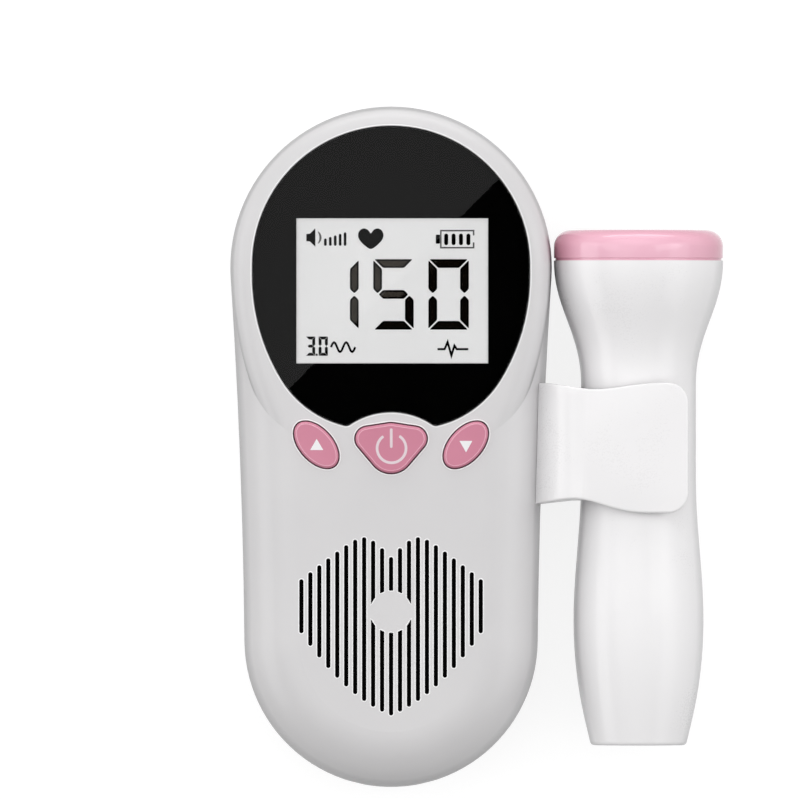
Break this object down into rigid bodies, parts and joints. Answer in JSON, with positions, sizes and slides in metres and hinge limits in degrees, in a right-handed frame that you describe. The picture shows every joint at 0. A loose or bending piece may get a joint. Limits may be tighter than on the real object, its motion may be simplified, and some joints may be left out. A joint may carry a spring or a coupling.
{
  "type": "fetal doppler monitor",
  "caption": "Hand-held fetal doppler monitor with a display, pink keys, a speaker grille and a probe held in a side clip.",
  "frame": {"origin": "on the flat back that the unit rests on, on its midline, half way along its length", "axes": "+Z out of the face with the display, +Y towards the display end, +X towards the probe"},
  "size_m": [0.0978, 0.135, 0.0341],
  "materials": {
    "white_shell": "satin",
    "pink_button": "satin",
    "pink_cap": "gloss",
    "pink_face": "satin",
    "clear_lens": "clear",
    "black_print": "gloss",
    "lcd_grey": "matt",
    "white_diffuser": "matt",
    "switch_black": "matt",
    "board_green": "satin",
    "chip_black": "matt",
    "can_metal": "satin",
    "screw_steel": "satin",
    "black_cloth": "matt",
    "speaker_steel": "satin",
    "speaker_paper": "matt",
    "magnet_dark": "satin",
    "cell_wrap": "gloss",
    "contact_metal": "satin",
    "socket_black": "satin",
    "ceramic_crystal": "matt",
    "backing_resin": "matt"
  },
  "bodies": {
    "case": {"front_shell": "white_shell", "rear_shell": "white_shell", "display_lens": "clear_lens", "display_mask": "black_print", "lcd_panel": "lcd_grey", "lcd_backlight": "white_diffuser", "lcd_frame": "white_diffuser", "button_switches": "switch_black", "main_board": "board_green", "board_chips": "chip_black", "board_capacitors": "can_metal", "board_screws": "screw_steel", "grille_cloth": "black_cloth", "speaker_frame": "speaker_steel", "speaker_cone": "speaker_paper", "speaker_magnet": "magnet_dark", "battery_cells": "cell_wrap", "battery_plates": "contact_metal", "battery_springs": "contact_metal", "housing_screws": "screw_steel", "clip_screws": "screw_steel", "jack_board": "board_green", "headphone_jack": "socket_black", "probe_jack": "socket_black", "probe_clip": "white_shell"},
    "probe": {"probe_front_half": "white_shell", "probe_rear_half": "white_shell", "transducer_cap": "pink_cap", "transducer_face": "pink_face", "piezo_crystals": "ceramic_crystal", "crystal_backing": "backing_resin", "probe_board": "board_green", "probe_board_chips": "chip_black", "probe_lead_socket": "socket_black", "probe_screws": "screw_steel"},
    "door": {"battery_door": "white_shell"},
    "power_key": {"power_button": "pink_button", "power_plunger": "switch_black"},
    "volume_up_key": {"volume_up_button": "pink_button", "volume_up_plunger": "switch_black"},
    "volume_down_key": {"volume_down_button": "pink_button", "volume_down_plunger": "switch_black"}
  },
  "joints": [
    {"name": "power_press", "type": "slide", "parent": "case", "child": "power_key", "axis": [0, 0, -1], "range_m": [0, 0.0006], "stiffness_N_per_m": 2500},
    {"name": "volume_up_press", "type": "slide", "parent": "case", "child": "volume_up_key", "axis": [0, 0, -1], "range_m": [0, 0.0006], "stiffness_N_per_m": 2500},
    {"name": "volume_down_press", "type": "slide", "parent": "case", "child": "volume_down_key", "axis": [0, 0, -1], "range_m": [0, 0.0006], "stiffness_N_per_m": 2500},
    {"name": "battery_door_hinge", "type": "hinge", "parent": "case", "child": "door", "pos_m": [0, 0.0466, 0.0007], "axis": [1, 0, 0], "range_deg": [0, 60]},
    {"name": "probe_release", "type": "slide", "parent": "case", "child": "probe", "axis": [1, 0, 0], "range_m": [0, 0.024]}
  ]
}
